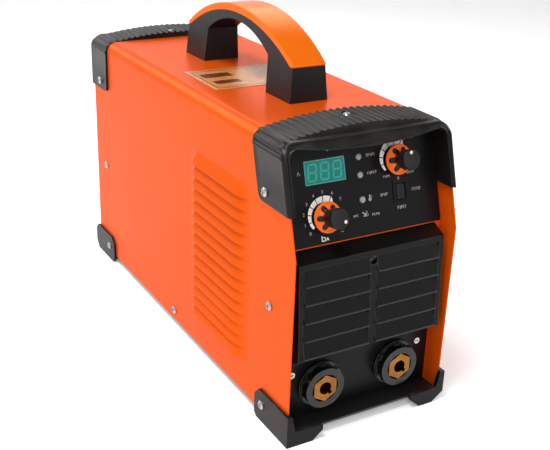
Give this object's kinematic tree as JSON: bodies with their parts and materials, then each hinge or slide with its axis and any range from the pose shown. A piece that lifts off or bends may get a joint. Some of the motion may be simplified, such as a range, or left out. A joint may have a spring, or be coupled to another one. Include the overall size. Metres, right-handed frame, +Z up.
{
  "type": "stick welding inverter",
  "caption": "Portable welding power source in a sheet-steel case with plastic hoods, corner feet, an arched carrying handle, a sloping control fascia, an air grille and twin output sockets.",
  "frame": {"origin": "on the floor, under the middle of the feet, halfway along the length and across the width", "axes": "+X to the right of someone facing the controls, +Y from the controls to the rear, +Z up"},
  "size_m": [0.1894, 0.507, 0.3615],
  "materials": {
    "orange_paint": "glossy powder coat",
    "black_paint": "satin",
    "black_plastic": "moulded satin, fine texture",
    "fascia_plastic": "satin film",
    "orange_plastic": "glossy",
    "teal_window": "glossy tinted",
    "lens_plastic": "diffused lens",
    "dark_electronics": "matte epoxy",
    "brass": "machined",
    "screw_steel": "zinc plated",
    "bare_aluminium": "extruded",
    "circuit_board": "solder mask",
    "copper": "enamelled copper",
    "ferrite": "sintered",
    "nylon": "natural",
    "capacitor_sleeve": "heat-shrink sleeve",
    "plate_tan": "printed foil",
    "lever_red": "glossy"
  },
  "bodies": {
    "case": {"cover": "orange_paint", "base_tray": "black_paint", "front_plate": "orange_paint", "rear_plate": "orange_paint", "control_fascia": "fascia_plastic", "front_hood": "black_plastic", "rear_hood": "black_plastic", "front_grille": "black_plastic", "socket_panel": "fascia_plastic", "foot_front_left": "black_plastic", "foot_front_right": "black_plastic", "foot_rear_left": "black_plastic", "foot_rear_right": "black_plastic", "socket_collar_plus": "black_plastic", "socket_collar_minus": "black_plastic", "socket_contact_plus": "brass", "socket_contact_minus": "brass", "display_window": "teal_window", "display_module": "dark_electronics", "indicator_lenses": "lens_plastic", "selector_housing": "dark_electronics", "handle_body": "black_plastic", "handle_strap": "orange_plastic", "handle_screws": "screw_steel", "cover_screws": "screw_steel", "hood_screws": "screw_steel", "foot_screws": "screw_steel", "grille_screw": "screw_steel", "info_plate": "plate_tan", "fan_guard": "black_paint", "fan_frame": "dark_electronics", "fan_screws": "screw_steel", "breaker_body": "dark_electronics", "cable_gland": "black_plastic", "gland_nut": "black_plastic", "earth_stud": "screw_steel", "rating_plate": "bare_aluminium", "heat_sink_left": "bare_aluminium", "heat_sink_right": "bare_aluminium", "power_board": "circuit_board", "transistors": "dark_electronics", "capacitors": "capacitor_sleeve", "bridge_rectifier": "dark_electronics", "transformer_core": "ferrite", "transformer_winding": "copper", "output_inductor": "copper", "control_board": "circuit_board", "potentiometers": "screw_steel", "bus_bars": "copper", "board_standoffs": "nylon"},
    "current_dial": {"current_knob": "black_plastic", "current_knob_skirt": "orange_plastic", "current_shaft": "screw_steel"},
    "force_dial": {"force_knob": "black_plastic", "force_knob_skirt": "orange_plastic", "force_shaft": "screw_steel"},
    "selector": {"selector_rocker": "dark_electronics"},
    "fan": {"fan_rotor": "dark_electronics"},
    "breaker_handle": {"breaker_lever": "lever_red"}
  },
  "joints": [
    {"name": "current_turn", "type": "hinge", "parent": "case", "child": "current_dial", "pos_m": [-0.044, -0.22107, 0.21412], "axis": [0, -0.9573, 0.289], "range_deg": [-13, 257]},
    {"name": "force_turn", "type": "hinge", "parent": "case", "child": "force_dial", "pos_m": [0.0385, -0.20937, 0.25289], "axis": [0, -0.9573, 0.289], "range_deg": [-135, 135]},
    {"name": "selector_rock", "type": "hinge", "parent": "case", "child": "selector", "pos_m": [0.042, -0.21474, 0.22266], "axis": [0, 0.289, 0.9573], "range_deg": [0, 18]},
    {"name": "fan_spin", "type": "hinge", "parent": "case", "child": "fan", "pos_m": [0, 0.2015, 0.1035], "axis": [0, 1, 0], "continuous": true},
    {"name": "breaker_throw", "type": "hinge", "parent": "case", "child": "breaker_handle", "pos_m": [0.042, 0.221, 0.2215], "axis": [1, 0, 0], "range_deg": [0, 76]}
  ]
}
